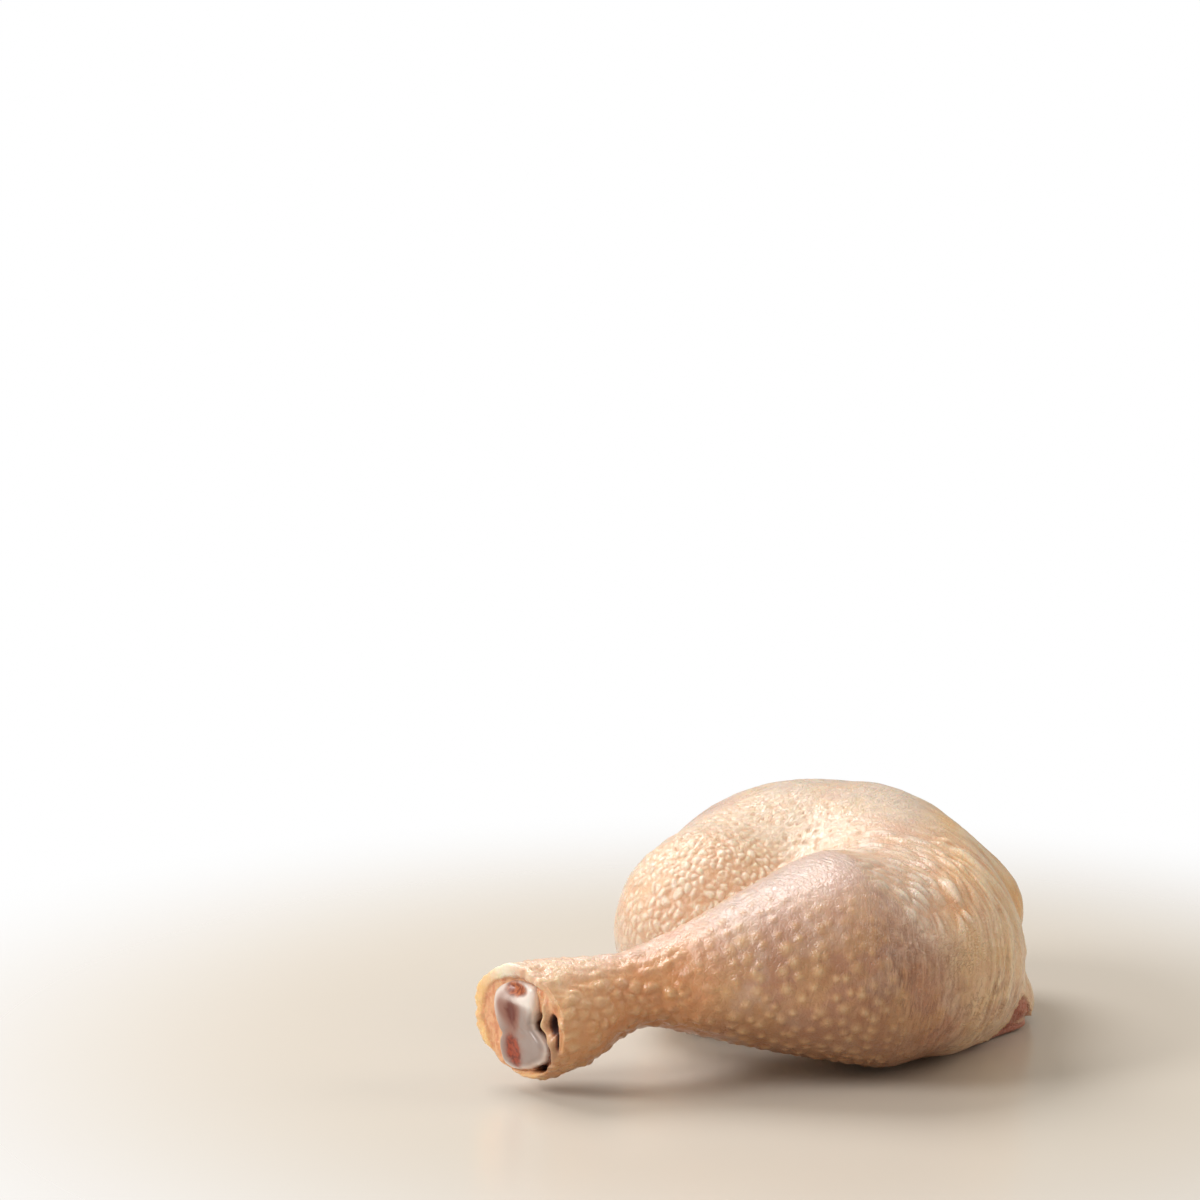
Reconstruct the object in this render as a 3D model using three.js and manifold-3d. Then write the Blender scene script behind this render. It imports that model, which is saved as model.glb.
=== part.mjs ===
// A raw chicken leg quarter, skin side up: the drumstick and the thigh in one folded piece,
// with the shin bone that shows at the cut end of the drumstick.
// Millimetres. +X along the long side, +Y from the drumstick to the thigh, +Z up.
// The origin is the middle of the leg's footprint, on the surface that it lies on.
import * as THREE from "three";
import { mergeVertices } from "three/addons/utils/BufferGeometryUtils.js";
import Module from "manifold-3d";

const wasm = await Module();
wasm.setup();

// Driving dimensions
const CELL = 3.0; // size of the faces of the skin
const GRID = { low: [-91.3, -90.4, -9.5], high: [90, 85, 75] }; // corners of the space with the leg
const FLOOR = { wide: 400, deep: 60 }; // the block under the leg that flattens what lies on it
const GAP = 0.3; // clearance between the bone and the meat round it
const CALF = new THREE.Vector3(27.3, -25.1, 0); // on the floor, under the thickest part of the calf
const HEADING = THREE.MathUtils.degToRad(17); // turn of the drumstick from +X

// Sections of the drumstick from the hock to the knee:
// distance along it from the calf, height of the middle, upright radius, width over height
const DRUMSTICK = [
  [-96.7, 16.0, 11.7, 0.98],
  [-87.4, 16.6, 13.1, 0.97],
  [-78.1, 16.9, 13.3, 0.97],
  [-68.8, 17.7, 12.1, 0.98],
  [-57.7, 22.0, 9.1, 1.0],
  [-44.6, 23.6, 12.5, 1.02],
  [-28.8, 25.1, 18.3, 1.04],
  [-11.2, 26.9, 23.9, 1.05],
  [0, 24.6, 23.9, 1.05],
  [11.2, 24.4, 21.2, 1.05],
];

// Round masses of the thigh and the knee: middle, half sizes, turn about the upright axis
const THIGH = { at: [14.1, 29.2, 22.8], half: [41.2, 30.7, 32.9], turn: -6 };
const FLAP = { at: [-11.5, 6.4, 24.0], half: [22.8, 21.9, 23.8], turn: 20 };
const HIP = { at: [44.3, 34.9, 23.0], half: [19.9, 21.8, 14.6], turn: -22 };
const KNEE = { at: [36.2, 1.0, 23.0], half: [9.0, 22.5, 18.0], turn: 41 };
const FOOT = { at: [55.7, 17.7, -0.6], half: [11.1, 10.6, 14.0], turn: 28 };

// How softly the masses run into each other. The crease between the drumstick and the thigh is
// tight at its open end and fades out between the two X values towards the knee.
const SOFT = { flap: 13, hip: 5.5, thigh: 15, knee: 18.5 };
const CREASE = { tight: 7.5, more: 29, from: -4, to: 35 };

// The cut through the hock: distance along the drumstick, lean with width and with height
const HOCK_CUT = { along: -84.5, lean: 0.52, tip: 0.05, reach: 60 };
const HOCK_DISH = { half: [3.8, 10.2, 11.0], out: 0.4, sides: 24 }; // the hollow inside the rim of skin

// The cut that took the thigh off the back: a point on it, the way it faces, and its round edge;
// the muscles swell out of it in slanting bands
const HIP_CUT = { at: [20, 56.5, 24], facing: [0.15, 0.93, -0.33], round: 1.5 };
const MUSCLE = { apart: 12, slant: 0.28, swell: 2.2 };

// Hollows between the muscles of the underside: how deep and how far apart they are, the share
// that is hollow, how they slant and wander, and how softly they meet the floor
const UNDERSIDE = { deep: 2.1, apart: 34, share: 0.4, slant: 0.35, bend: 4, wave: 14, round: 2 };

// The shin bone: distance along, height of the middle, half height, half width, waist
const SHIN = [
  [-81.5, 15.6, 10.0, 8.6, 0.2],
  [-78.0, 15.7, 10.5, 8.6, 0.2],
  [-74.0, 16.4, 9.6, 7.6, 0.16],
  [-69.5, 18.0, 6.8, 6.0, 0.08],
  [-63.5, 20.2, 4.8, 4.8, 0],
  [-55.0, 21.9, 4.0, 4.3, 0],
  [-28.0, 24.2, 4.0, 4.5, 0],
  [-5.0, 25.0, 4.9, 5.6, 0],
  [7.5, 24.8, 7.4, 8.4, 0],
  [12.5, 24.6, 8.0, 9.0, 0],
];
const SHIN_SIDES = 24;
const SHIN_CAP = [[0.92, 1.1], [0.76, 2.0], [0.45, 2.6]]; // the rounded ends: size, distance out
const SHIN_END = { lean: 0.5, swell: 1.2, from: -64, to: -78 }; // the joint end's slant and knuckles

const UP = new THREE.Vector3(0, 0, 1);
const along = new THREE.Vector3(Math.cos(HEADING), Math.sin(HEADING), 0);
const across = new THREE.Vector3(-Math.sin(HEADING), Math.cos(HEADING), 0);
const { clamp, degToRad, smoothstep } = THREE.MathUtils;

// Smooth union and smooth intersection of two distances
function join(a, b, round) {
  return Math.min(a, b) - Math.max(round - Math.abs(a - b), 0) ** 2 / (4 * round);
}
function trim(a, b, round) {
  return -join(-a, -b, round);
}

// The columns of a section table at a distance along the drumstick, on a smooth curve
function section(table, s) {
  const last = table.length - 1;
  let i = 0;
  while (i < last - 1 && table[i + 1][0] < s) i++;
  const rows = [i - 1, i, i + 1, i + 2].map((k) => table[clamp(k, 0, last)]);
  const step = rows[2][0] - rows[1][0];
  const t = clamp((s - rows[1][0]) / step, 0, 1);
  const slope = (from, to, c) => ((rows[to][c] - rows[from][c]) / (rows[to][0] - rows[from][0])) * step;
  return rows[1].map((start, c) => {
    const rise = rows[2][c] - start;
    const enter = slope(0, 2, c);
    const leave = slope(1, 3, c);
    return start + t * (enter + t * (3 * rise - 2 * enter - leave + t * (enter + leave - 2 * rise)));
  });
}

// A point in the drumstick's own directions: along it, across it and up
function inDrumstick(p) {
  const rel = p.clone().sub(CALF);
  return [rel.dot(along), rel.dot(across), rel.z];
}
function fromDrumstick(s, side, height) {
  return CALF.clone().addScaledVector(along, s).addScaledVector(across, side).addScaledVector(UP, height);
}

function drumstickDistance(p) {
  const [s, side, height] = inDrumstick(p);
  const held = clamp(s, DRUMSTICK[0][0], DRUMSTICK.at(-1)[0]);
  const [, middle, radius, widen] = section(DRUMSTICK, held);
  return Math.hypot(s - held, side / widen, height - middle) - radius;
}

function massDistance({ at, half, turn }, p) {
  const q = p.clone().sub(new THREE.Vector3(...at)).applyAxisAngle(UP, degToRad(-turn));
  const near = Math.hypot(q.x / half[0], q.y / half[1], q.z / half[2]);
  const steep = Math.hypot(q.x / half[0] ** 2, q.y / half[1] ** 2, q.z / half[2] ** 2);
  return (near * (near - 1)) / Math.max(steep, Number.EPSILON);
}

// The cut face of the thigh, with the cut muscles swelling out of it in bands
function hipCutDistance(p) {
  const rel = p.clone().sub(new THREE.Vector3(...HIP_CUT.at));
  const facing = new THREE.Vector3(...HIP_CUT.facing).normalize();
  const band = Math.abs(Math.sin((Math.PI * (rel.z + MUSCLE.slant * rel.x)) / MUSCLE.apart));
  return rel.dot(facing) - MUSCLE.swell * band;
}

// The underside lies on the floor, apart from the hollows between its muscles
function undersideDistance(p) {
  const { deep, apart, share, slant, bend, wave } = UNDERSIDE;
  const ridge = Math.sin((Math.PI * (p.y + slant * p.x + bend * Math.sin(p.x / wave))) / apart);
  return deep * Math.max(1 - (ridge / share) ** 2, -1) - p.z;
}

function legDistance(p) {
  const back = join(massDistance(HIP, p), massDistance(FOOT, p), SOFT.hip);
  const dome = join(massDistance(THIGH, p), massDistance(FLAP, p), SOFT.flap);
  const thigh = join(dome, back, SOFT.thigh);
  const calf = join(drumstickDistance(p), massDistance(KNEE, p), SOFT.knee);
  const crease = CREASE.tight + CREASE.more * smoothstep(p.x, CREASE.from, CREASE.to);
  const whole = join(calf, thigh, crease);
  const cut = trim(whole, hipCutDistance(p), HIP_CUT.round);
  return trim(cut, undersideDistance(p), UNDERSIDE.round);
}

// Moves a point onto the surface where a distance is zero, by no more than its slope allows
function settle(distance, point) {
  const step = 0.05;
  const flattest = 0.04;
  for (let turn = 0; turn < 2; turn++) {
    const here = distance(point);
    const slope = new THREE.Vector3();
    for (const axis of [0, 1, 2]) {
      const moved = point.clone();
      moved.setComponent(axis, moved.getComponent(axis) + step);
      slope.setComponent(axis, (distance(moved) - here) / step);
    }
    point.addScaledVector(slope, -clamp(here / Math.max(slope.lengthSq(), flattest), -1, 1));
  }
}

// The surface where a distance is zero, as a closed geometry: one point in each cell that the
// surface crosses, and one four-sided face across each grid edge that it crosses
function surfaceOf(distance, low, high, cell) {
  const n = [0, 1, 2].map((axis) => Math.ceil((high[axis] - low[axis]) / cell) + 1);
  const index = (i, j, k) => i + n[0] * (j + n[1] * k);
  const at = (i, j, k) => new THREE.Vector3(i, j, k).multiplyScalar(cell).add(new THREE.Vector3(...low));
  function each(from, visit) {
    for (let k = from; k < n[2] - 1; k++) {
      for (let j = from; j < n[1] - 1; j++) {
        for (let i = from; i < n[0] - 1; i++) visit(i, j, k);
      }
    }
  }
  const values = new Float64Array(n[0] * n[1] * n[2]).fill(1);
  each(0, (i, j, k) => {
    values[index(i, j, k)] = distance(at(i, j, k));
  });

  const corners = [0, 1, 2, 3, 4, 5, 6, 7].map((c) => [c & 1, (c >> 1) & 1, (c >> 2) & 1]);
  const points = [];
  const pointOf = new Map();
  each(0, (i, j, k) => {
    const value = (c) => values[index(i + corners[c][0], j + corners[c][1], k + corners[c][2])];
    const sum = new THREE.Vector3();
    let crossings = 0;
    for (let c = 0; c < 8; c++) {
      for (const axis of [0, 1, 2]) {
        if (corners[c][axis]) continue;
        const here = value(c);
        const next = value(c + (1 << axis));
        if (here < 0 === next < 0) continue;
        const start = at(i + corners[c][0], j + corners[c][1], k + corners[c][2]);
        start.setComponent(axis, start.getComponent(axis) + (cell * here) / (here - next));
        sum.add(start);
        crossings++;
      }
    }
    if (!crossings) return;
    pointOf.set(index(i, j, k), points.length);
    points.push(sum.divideScalar(crossings));
  });
  for (const point of points) settle(distance, point);

  const faces = [];
  each(1, (i, j, k) => {
    for (const axis of [0, 1, 2]) {
      const inside = values[index(i, j, k)] < 0;
      const next = values[index(i + (axis === 0), j + (axis === 1), k + (axis === 2))] < 0;
      if (inside === next) continue;
      const quad = [[0, 0], [1, 0], [1, 1], [0, 1]].map(([u, v]) => {
        const cellAt = [i, j, k];
        cellAt[(axis + 1) % 3] -= u;
        cellAt[(axis + 2) % 3] -= v;
        return pointOf.get(index(...cellAt));
      });
      const [a, b, c, d] = inside ? quad : quad.reverse();
      const shorter = points[a].distanceTo(points[c]) < points[b].distanceTo(points[d]);
      faces.push(...(shorter ? [a, b, c, a, c, d] : [a, b, d, b, c, d]));
    }
  });
  return geometryOf(points, faces);
}

function geometryOf(points, faces) {
  const geometry = new THREE.BufferGeometry();
  const numbers = points.flatMap((p) => p.toArray());
  geometry.setAttribute("position", new THREE.Float32BufferAttribute(numbers, 3));
  return geometry.setIndex(faces);
}

// One ring of points round the shin bone, made larger by a clearance
function shinRing([start, middle, halfHeight, halfWidth, waist], out, size, grow) {
  const end = smoothstep(-start, -SHIN_END.from, -SHIN_END.to);
  return Array.from({ length: SHIN_SIDES }, (_, i) => {
    const angle = (2 * Math.PI * i) / SHIN_SIDES;
    const pinch = 1 - waist * Math.cos(angle) ** 6;
    const side = (halfWidth * size + grow) * Math.cos(angle) * pinch;
    const height = (halfHeight * size + grow) * Math.sin(angle);
    const knuckle = SHIN_END.swell * (1 - Math.cos((2 * Math.PI * height) / halfHeight)) / 2;
    const s = start + out - end * (SHIN_END.lean * side + knuckle);
    return fromDrumstick(s, side, middle + height);
  });
}

// The shin bone as a skin over its rings; the hock end can run on outwards, to cut its channel
function shinGeometry(grow, runOn) {
  const loops = [
    ...SHIN_CAP.map(([size, out]) => shinRing(SHIN[0], -out - runOn, size, grow)).reverse(),
    ...SHIN.map((row) => shinRing(row, 0, 1, grow)),
    ...SHIN_CAP.map(([size, out]) => shinRing(SHIN.at(-1), out, size, grow)),
  ];
  const middleOf = (loop) =>
    loop.reduce((sum, p) => sum.add(p), new THREE.Vector3()).divideScalar(loop.length);
  const points = [...loops.flat(), middleOf(loops[0]), middleOf(loops.at(-1))];
  const [nearTip, farTip] = [points.length - 2, points.length - 1];
  const farRing = (loops.length - 1) * SHIN_SIDES;
  const faces = [];
  for (let i = 0; i < SHIN_SIDES; i++) {
    const next = (i + 1) % SHIN_SIDES;
    for (let ring = 0; ring < farRing; ring += SHIN_SIDES) {
      const [a, b, c, d] = [ring + i, ring + next, ring + SHIN_SIDES + next, ring + SHIN_SIDES + i];
      faces.push(a, b, d, b, c, d);
    }
    faces.push(nearTip, next, i, farTip, farRing + i, farRing + next);
  }
  return geometryOf(points, faces);
}

// Puts a shape that is centred on the cut through the hock in its place, facing as the cut does
function atHock(geometry) {
  const middle = section(DRUMSTICK, HOCK_CUT.along)[1];
  const facing = along.clone().addScaledVector(across, HOCK_CUT.lean).addScaledVector(UP, HOCK_CUT.tip);
  return geometry
    .applyMatrix4(new THREE.Matrix4().makeBasis(along, across, UP))
    .applyQuaternion(new THREE.Quaternion().setFromUnitVectors(along, facing.normalize()))
    .translate(...fromDrumstick(HOCK_CUT.along, 0, middle).toArray());
}

// What the cut through the hock took off, and the hollow that it left inside the rim of skin
function hockCutGeometry() {
  const { reach } = HOCK_CUT;
  return atHock(new THREE.BoxGeometry(reach, reach, reach).translate(-reach / 2, 0, 0));
}
function dishGeometry() {
  const { half, out, sides } = HOCK_DISH;
  return atHock(new THREE.SphereGeometry(1, sides, sides / 2).scale(...half).translate(-out, 0, 0));
}

// three.js geometry to a solid and back
function solidOf(geometry) {
  const bare = geometry.clone();
  bare.deleteAttribute("normal");
  bare.deleteAttribute("uv");
  const merged = mergeVertices(bare);
  return new wasm.Manifold(
    new wasm.Mesh({
      numProp: 3,
      vertProperties: merged.attributes.position.array,
      triVerts: new Uint32Array(merged.index.array),
    }),
  );
}

function meshOf(solid, name, material) {
  const made = solid.getMesh();
  const geometry = new THREE.BufferGeometry();
  geometry.setAttribute("position", new THREE.BufferAttribute(made.vertProperties, 3));
  geometry.setIndex(new THREE.BufferAttribute(made.triVerts, 1));
  geometry.computeVertexNormals();
  const mesh = new THREE.Mesh(geometry, material);
  mesh.name = name;
  return mesh;
}

const skin = new THREE.MeshStandardMaterial({ color: 0xe3bd9c, roughness: 0.4 });
const gristle = new THREE.MeshStandardMaterial({ color: 0xd9d3d8, roughness: 0.3 });

const floor = new THREE.BoxGeometry(FLOOR.wide, FLOOR.wide, FLOOR.deep).translate(0, 0, -FLOOR.deep / 2);
const meat = solidOf(surfaceOf(legDistance, GRID.low, GRID.high, CELL))
  .subtract(solidOf(floor))
  .subtract(solidOf(hockCutGeometry()))
  .subtract(solidOf(dishGeometry()))
  .subtract(solidOf(shinGeometry(GAP, HOCK_CUT.reach)));

const group = new THREE.Group();
group.add(meshOf(meat, "leg_meat", skin));
group.add(meshOf(solidOf(shinGeometry(0, 0)), "shin_bone", gristle));
const middle = new THREE.Box3().setFromObject(group).getCenter(new THREE.Vector3());
group.position.set(-middle.x, -middle.y, 0);
export default group;
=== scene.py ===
"""A raw chicken leg quarter, skin side up: the thigh and the drumstick in one folded piece, with
wet see-through skin over pink meat and the bone end showing in the cut hock.

Lengths are in millimetres in the leg's own frame until a mesh is made."""

import itertools
import math

import bpy
import numpy as np
from mathutils import Matrix, Vector, kdtree


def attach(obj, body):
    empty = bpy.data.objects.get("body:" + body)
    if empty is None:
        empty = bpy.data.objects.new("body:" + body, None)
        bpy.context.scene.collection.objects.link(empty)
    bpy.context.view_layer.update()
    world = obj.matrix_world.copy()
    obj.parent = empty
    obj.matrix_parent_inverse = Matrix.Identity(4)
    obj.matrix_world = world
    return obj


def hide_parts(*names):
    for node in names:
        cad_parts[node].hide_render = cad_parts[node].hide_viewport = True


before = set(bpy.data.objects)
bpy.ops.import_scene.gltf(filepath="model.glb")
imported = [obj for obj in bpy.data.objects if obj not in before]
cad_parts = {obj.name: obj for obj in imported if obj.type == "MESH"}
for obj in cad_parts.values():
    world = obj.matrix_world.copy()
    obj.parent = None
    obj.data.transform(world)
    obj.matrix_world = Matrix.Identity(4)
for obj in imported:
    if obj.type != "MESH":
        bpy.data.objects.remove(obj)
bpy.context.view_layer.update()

MM = 0.001
UP = np.array([0.0, 0.0, 1.0])

# The drumstick's own directions, from a point on the floor under the thickest part of the calf
CALF = np.array([25.24, -24.89, 0.0])
HEADING = math.radians(17)
ALONG = np.array([math.cos(HEADING), math.sin(HEADING), 0.0])
ACROSS = np.array([-math.sin(HEADING), math.cos(HEADING), 0.0])

# Sections of the drumstick: distance along it from the calf, height of its middle, radius
SECTIONS = np.array([
    (-96.7, 16.0, 11.6), (-87.4, 16.6, 12.9), (-78.1, 16.9, 13.1), (-68.8, 17.7, 12.0),
    (-57.7, 22.0, 9.1), (-44.6, 23.6, 12.6), (-28.8, 25.1, 18.7), (-11.2, 26.9, 24.5),
    (0.0, 24.6, 24.5), (11.2, 24.4, 21.7)])

# The cut through the hock: its middle, its slant, the way it faces and the directions on it
HOCK_AT = -84.5
HOCK_HEIGHT = 16.73
HOCK_SLANT = 0.52
HOCK_TILT = 0.05
HOCK = CALF + ALONG * HOCK_AT + UP * HOCK_HEIGHT
HOCK_OUT = -(ALONG + HOCK_SLANT * ACROSS + HOCK_TILT * UP)
HOCK_OUT = HOCK_OUT / np.linalg.norm(HOCK_OUT)
HOCK_RIGHT = np.cross(UP, HOCK_OUT) / np.linalg.norm(np.cross(UP, HOCK_OUT))
HOCK_UP = np.cross(HOCK_OUT, HOCK_RIGHT)

# The cut that took the thigh off the back: a point on it and the way it faces
HIP = np.array([17.94, 56.71, 24.0])
HIP_OUT = np.array([0.15, 0.93, -0.33])
HIP_OUT = HIP_OUT / np.linalg.norm(HIP_OUT)

# The point in the calf that the folds of the knee run round
KNEE_CENTRE = CALF + ALONG * -6 + UP * 24

# Fineness of the meshes
SKIN_VOXEL = 0.5
SKIN_TRIANGLES = 196000
BONE_VOXEL = 0.4


# Small helpers on arrays

def smoothstep(value, low, high):
    t = np.clip((value - low) / (high - low), 0, 1)
    return t * t * (3 - 2 * t)


def spot(places, middle, half):
    """A soft spot, 1 at its middle, with the given half sizes."""
    return np.exp(-(((places - np.array(middle)) / np.array(half)) ** 2).sum(axis=1))


def far_from(places, middle, half):
    """Distance from a middle, 1 on an ellipsoid with the given half sizes."""
    return np.linalg.norm((places - np.array(middle)) / np.array(half), axis=1)


def rotate(places, axis, degrees):
    """Places turned about an axis through the origin."""
    turn = Matrix.Rotation(math.radians(degrees), 3, Vector(axis))
    return places @ np.array(turn).T


# Noise with fixed seeds

def scatter(cells, seed):
    """One even random number from 0 to 1 for each whole-number cell."""
    wide = 0xFFFFFFFF
    n = cells[..., 0] * 73856093 ^ cells[..., 1] * 19349663 ^ cells[..., 2] * 83492791 ^ seed * 40503
    n = n & wide
    n = ((n ^ (n >> 15)) * 2246822519) & wide
    n = ((n ^ (n >> 13)) * 3266489917) & wide
    return (n ^ (n >> 16)) / wide


def clouds(places, size, seed, octaves=1):
    """Smooth noise from -1 to 1 with lumps of about the given size in each direction."""
    total = np.zeros(len(places))
    strength, whole = 1.0, 0.0
    at = places / np.array(size)
    for octave in range(octaves):
        base = np.floor(at).astype(np.int64)
        t = at - base
        t = t * t * (3 - 2 * t)
        value = np.zeros(len(at))
        for corner in itertools.product((0, 1), repeat=3):
            share = np.prod(np.where(corner, t, 1 - t), axis=1)
            value += share * scatter(base + np.array(corner), seed + 17 * octave)
        total += strength * (2 * value - 1)
        whole += strength
        strength *= 0.5
        at = at * 2.03 + 5.1
    return total / whole


def pebbles(places, size, seed, loose=0.9):
    """Cells of about the given size: distance to the middle, distance to the edge, and a number
    from 0 to 1 that is the cell's own."""
    at = places / np.array(size)
    base = np.floor(at).astype(np.int64)
    first = np.full(len(at), 9.0)
    second = np.full(len(at), 9.0)
    own = np.zeros(len(at))
    for step in itertools.product((-1, 0, 1), repeat=3):
        cell = base + np.array(step)
        shift = np.stack([scatter(cell, seed + axis) for axis in range(3)], axis=1)
        far = np.linalg.norm(at - cell - 0.5 - loose * (shift - 0.5), axis=1)
        nearer = far < first
        second = np.where(nearer, first, np.minimum(second, far))
        own = np.where(nearer, scatter(cell, seed + 3), own)
        first = np.minimum(first, far)
    return first, second - first, own


# Meshes

def copy_of(source, name, places=None):
    """A new object with a source's faces, and with other places if they are given."""
    mesh = source.data.copy()
    if places is not None:
        mesh.vertices.foreach_set("co", (places * MM).astype(np.float32).ravel())
    piece = bpy.data.objects.new(name, mesh)
    bpy.context.scene.collection.objects.link(piece)
    return piece


def places_of(mesh):
    co = np.empty(len(mesh.vertices) * 3, np.float32)
    mesh.vertices.foreach_get("co", co)
    return co.reshape(-1, 3).astype(float) / MM


def quads_of(mesh):
    corners = np.empty(len(mesh.loops), np.int32)
    mesh.loops.foreach_get("vertex_index", corners)
    return corners.reshape(-1, 4)


def edges_of(mesh):
    ends = np.empty(len(mesh.edges) * 2, np.int32)
    mesh.edges.foreach_get("vertices", ends)
    return ends.reshape(-1, 2)


def applied(piece):
    """Replaces a piece's mesh with what its modifiers make of it."""
    bpy.context.view_layer.update()
    made = piece.evaluated_get(bpy.context.evaluated_depsgraph_get())
    mesh = bpy.data.meshes.new_from_object(made)
    piece.modifiers.clear()
    piece.data = mesh
    return piece


def remeshed(pieces, name, voxel):
    """One closed skin of even four-sided faces round several closed pieces."""
    for other in bpy.context.selected_objects:
        other.select_set(False)
    for piece in pieces:
        piece.select_set(True)
    bpy.context.view_layer.objects.active = pieces[0]
    if len(pieces) > 1:
        bpy.ops.object.join()
    whole = pieces[0]
    whole.name = name
    remesh = whole.modifiers.new("remesh", "REMESH")
    remesh.mode = "VOXEL"
    remesh.voxel_size = voxel * MM
    remesh.use_smooth_shade = True
    return applied(whole)


def set_places(mesh, places):
    mesh.vertices.foreach_set("co", (places * MM).astype(np.float32).ravel())
    mesh.update()


def set_mask(mesh, name, values):
    mask = mesh.attributes.get(name) or mesh.attributes.new(name, "FLOAT", "POINT")
    mask.data.foreach_set("value", np.clip(values, 0, 1).astype(np.float32))


def normals_of(places, quads):
    a, b, c, d = (places[quads[:, i]] for i in range(4))
    face = np.cross(c - a, d - b)
    total = np.zeros_like(places)
    for corner in range(4):
        for axis in range(3):
            total[:, axis] += np.bincount(quads[:, corner], face[:, axis], len(places))
    return total / np.maximum(np.linalg.norm(total, axis=1), 1e-9)[:, None]


def smoothed(places, edges, rounds, amount):
    """Moves each place towards the mean of its neighbours, by an amount of its own."""
    count = len(places)
    near, far = edges[:, 0], edges[:, 1]
    many = np.bincount(near, minlength=count) + np.bincount(far, minlength=count)
    places = places.copy()
    for _ in range(rounds):
        for axis in range(places.shape[1]):
            column = places[:, axis]
            total = np.bincount(near, column[far], count) + np.bincount(far, column[near], count)
            places[:, axis] = column + amount * (total / many - column)
    return places


# Places on the leg

def on_drumstick(places):
    """Distance along the drumstick, angle round it in degrees (0 towards the thigh, 90 up, 180 to
    the front, 270 below), the drumstick's radius there, and the distance from its skin."""
    rel = places - CALF
    s = rel @ ALONG
    held = np.clip(s, SECTIONS[0, 0], SECTIONS[-1, 0])
    middle = np.interp(held, SECTIONS[:, 0], SECTIONS[:, 1])
    radius = np.interp(held, SECTIONS[:, 0], SECTIONS[:, 2])
    side = rel @ ACROSS
    height = rel[:, 2] - middle
    angle = np.degrees(np.arctan2(height, side)) % 360
    out = np.sqrt((s - held) ** 2 + side ** 2 + height ** 2) - radius
    return s, angle, radius, out


def facing(r, degrees, half):
    """1 where the drumstick faces one way round it, falling off over a half width in degrees."""
    return np.exp(-((r["angle"] - degrees) / half) ** 2)


def on_hock(places):
    """Places in the directions of the cut hock: to the right, up, and in from the cut."""
    rel = places - HOCK
    return np.stack([rel @ HOCK_RIGHT, rel @ HOCK_UP, -(rel @ HOCK_OUT)], axis=1)


def from_hock(right, up, deep):
    return HOCK + np.outer(right, HOCK_RIGHT) + np.outer(up, HOCK_UP) - np.outer(deep, HOCK_OUT)


def polar(flat, middle):
    rel = flat - np.array(middle)
    return np.arctan2(rel[:, 1], rel[:, 0]), np.hypot(rel[:, 0], rel[:, 1])


def across_outline(flat, outline, middle):
    """0 at the middle of an outline on the cut hock and 1 on the outline."""
    corner_turn, corner_far = polar(np.array(outline), middle)
    order = np.argsort(corner_turn)
    turn, far = polar(flat, middle)
    return far / np.interp(turn, corner_turn[order], corner_far[order], period=2 * math.pi)


# The skin's relief

FOLLICLE = {"apart": 3.8, "radius": 2.1, "high": 0.36, "tip": 0.14, "from": -58, "to": 22, "seed": 5}

# How high each other kind of relief stands, or how deep it lies
RELIEF = {
    "broad": 0.35, "fine": 0.12, "dome": 0.32, "bead": 0.85, "small bead": 0.22, "shank lump": 0.75,
    "cuff wrinkle": 0.42, "goose bump": 0.55, "net": 0.3, "pit": 0.4, "knee fold": 0.65,
    "plump ridge": 0.85, "fibre": 0.4, "uneven meat": 0.4, "bundle": 1.1, "sunk meat": 1.7,
    "rolled edge": 0.45}

# Degrees in a radian, and the radius at which marks on the calf keep their size
RADIAN = 57.3
LAY_RADIUS = 12.5


def on_tube(along, turn, wide):
    return np.stack([along, wide * np.cos(turn), wide * np.sin(turn)], axis=1)


def follicles(s, angle, radius):
    """Pores in staggered rows round the calf: 1 at a pore's middle, falling to 0 at its edge."""
    rng = np.random.default_rng(FOLLICLE["seed"])
    middles = []
    rows = np.arange(FOLLICLE["from"], FOLLICLE["to"], FOLLICLE["apart"] * 0.87)
    for row, at in enumerate(rows):
        round_here = 2 * math.pi * np.interp(at, SECTIONS[:, 0], SECTIONS[:, 2])
        count = max(6, round(round_here / FOLLICLE["apart"]))
        turns = (np.arange(count) + 0.5 * (row % 2)) / count * 360
        for turn in turns:
            jitter = rng.normal(0, 0.7, 2)
            middles.append((at + jitter[0], math.radians(turn) + jitter[1] / 20, rng.uniform(0.6, 1.2)))
    middles = np.array(middles)
    width = np.interp(middles[:, 0], SECTIONS[:, 0], SECTIONS[:, 2])
    centres = on_tube(middles[:, 0], middles[:, 1], width)
    tree = kdtree.KDTree(len(centres))
    for i, centre in enumerate(centres):
        tree.insert(centre, i)
    tree.balance()
    found = [tree.find(place)[1:] for place in on_tube(s, np.radians(angle), radius)]
    index = np.array([i for i, far in found])
    far = np.array([far for i, far in found])
    return np.clip(1 - far / (FOLLICLE["radius"] * middles[index, 2]), 0, 1)


def ridges(value):
    """Sharp creases between rounded folds, from noise that runs from -1 to 1."""
    return 1 - 2 * np.abs(value)


# Where the calf's pink skin ends at each angle round the drumstick
CALF_END = np.array([
    (0, -10), (60, -12), (84, -9), (111, -5), (126, -3), (149, 6), (180, 14), (210, 20),
    (270, 22), (320, 6), (360, -10)])


# Where bare meat shows low on the far side of the knee: its height at each place across the leg
WEDGE_TOP = np.array([
    (-12, 0.3), (-9, 1.8), (-4, 4.8), (0, 7.8), (5.5, 9.4), (8, 7.4), (9.5, 4.5), (12, 0.3)])


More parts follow.
